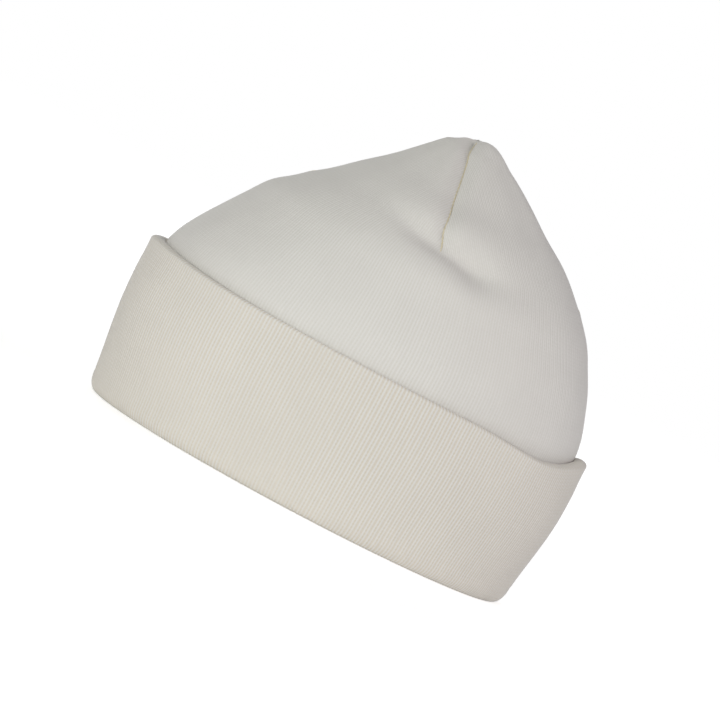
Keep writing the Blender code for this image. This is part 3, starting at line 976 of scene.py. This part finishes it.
def lay_floor(colours):
    """A round floor of matt vinyl, without gloss, so the hat leaves only a soft shadow.

    It melts into the surroundings towards its edge.
    """
    bpy.ops.object.select_all(action="DESELECT")
    bpy.ops.mesh.primitive_circle_add(
        vertices=FLOOR_SIDES, radius=FLOOR_RADIUS, fill_type="NGON")
    floor = bpy.context.object
    floor.name = "studio_floor"
    material, tree, output = new_material("matt_white_studio_vinyl")
    coords = add_node(tree, "ShaderNodeTexCoord")
    distance = add_node(
        tree, "ShaderNodeVectorMath", {"operation": "LENGTH"}, {0: coords.outputs["Object"]})
    fade = add_node(
        tree, "ShaderNodeMapRange", {"interpolation_type": "SMOOTHSTEP"},
        {
            "Value": distance.outputs["Value"], "From Min": FLOOR_FADE_FROM,
            "From Max": FLOOR_FADE_TO, "To Min": 1.0, "To Max": 0.0,
        })
    path = add_node(tree, "ShaderNodeLightPath")
    glow = add_node(
        tree, "ShaderNodeMapRange",
        inputs={
            "Value": path.outputs["Is Camera Ray"], "To Min": FLOOR_LIGHT, "To Max": FLOOR_GLOW,
        })
    shader = add_node(
        tree, "ShaderNodeBsdfPrincipled",
        inputs={
            "Base Color": colours.floor, "Roughness": 0.9, "Specular IOR Level": 0.0,
            "Emission Color": (1, 1, 1, 1), "Emission Strength": glow, "Alpha": fade,
        })
    tree.links.new(shader.outputs[0], output.inputs[0])
    floor.data.materials.append(material)


def hang_lights():
    """Hang broad soft boxes: a low key beside the camera, three weak fills, one for the back."""
    for settings in SOFTBOXES:
        bpy.ops.object.light_add(type="AREA", location=settings["at"])
        light = bpy.context.object
        light.name = f"{settings['name']}_softbox"
        light.data.size = settings["size"]
        light.data.energy = settings["power"]
        light.data.color = linear(settings["tint"])[:3]
        towards = Vector((0, 0, LIGHT_AIM)) - light.location
        light.rotation_euler = towards.to_track_quat("-Z", "Y").to_euler()


def light_world(scene):
    """White surroundings behind the hat, which light it only dimly."""
    world = bpy.data.worlds.new("white_studio")
    scene.world = world
    world.use_nodes = True
    tree = world.node_tree
    tree.nodes.clear()
    path = add_node(tree, "ShaderNodeLightPath")
    strength = add_node(
        tree, "ShaderNodeMapRange",
        inputs={"Value": path.outputs["Is Camera Ray"], "To Min": SURROUND_LIGHT, "To Max": 1.0})
    background = add_node(
        tree, "ShaderNodeBackground", inputs={"Color": (1, 1, 1, 1), "Strength": strength})
    output = add_node(tree, "ShaderNodeOutputWorld")
    tree.links.new(background.outputs[0], output.inputs[0])


def place_camera(scene):
    """A long lens a little above the rim, turned so that the hat leans right."""
    lens = 300.0
    sensor = 36.0
    frame_width = 0.3072
    rise = math.radians(3.4)
    roll = math.radians(28.0)
    aim = Vector((-0.0020, 0.0, 0.0640))
    distance = frame_width * lens / sensor
    back = Vector((0.0, -math.cos(rise), math.sin(rise)))
    data = bpy.data.cameras.new("camera")
    data.lens = lens
    data.sensor_width = sensor
    data.clip_start = 0.1
    data.clip_end = 60.0
    camera = bpy.data.objects.new("camera", data)
    scene.collection.objects.link(camera)
    camera.location = aim + back * distance
    camera.rotation_mode = "QUATERNION"
    level = (-back).to_track_quat("-Z", "Y")
    camera.rotation_quaternion = level @ Quaternion((0, 0, 1), roll)
    scene.camera = camera


class BEANIE_PT_sidebar(bpy.types.Panel):
    """The beanie's pieces and settings"""

    bl_idname = "BEANIE_PT_sidebar"
    bl_label = "Cuffed Beanie"
    bl_space_type = "VIEW_3D"
    bl_region_type = "UI"
    bl_category = "Beanie"

    def draw(self, context):
        for group in (context.scene.beanie_knit, context.scene.beanie_colours):
            box = self.layout.box()
            for name in group.__annotations__:
                box.prop(group, name)
        for operator in STEPS:
            self.layout.operator(operator.bl_idname)


STEPS = (BEANIE_OT_crown, BEANIE_OT_cuff, BEANIE_OT_threads, BEANIE_OT_overlocks, BEANIE_OT_stage)
CLASSES = (BeanieKnit, BeanieColours, *STEPS, BEANIE_PT_sidebar)


def register():
    """Register the classes and hang their settings on the scene."""
    for item in CLASSES:
        bpy.utils.register_class(item)
    bpy.types.Scene.beanie_knit = bpy.props.PointerProperty(type=BeanieKnit)
    bpy.types.Scene.beanie_colours = bpy.props.PointerProperty(type=BeanieColours)


def unregister():
    """Take the settings and the classes away again."""
    del bpy.types.Scene.beanie_colours
    del bpy.types.Scene.beanie_knit
    for item in reversed(CLASSES):
        bpy.utils.unregister_class(item)


def main():
    """Build every piece in order."""
    register()
    bpy.ops.beanie.crown()
    bpy.ops.beanie.cuff()
    bpy.ops.beanie.threads()
    bpy.ops.beanie.overlocks()
    bpy.ops.beanie.stage()


if __name__ == "__main__":
    main()
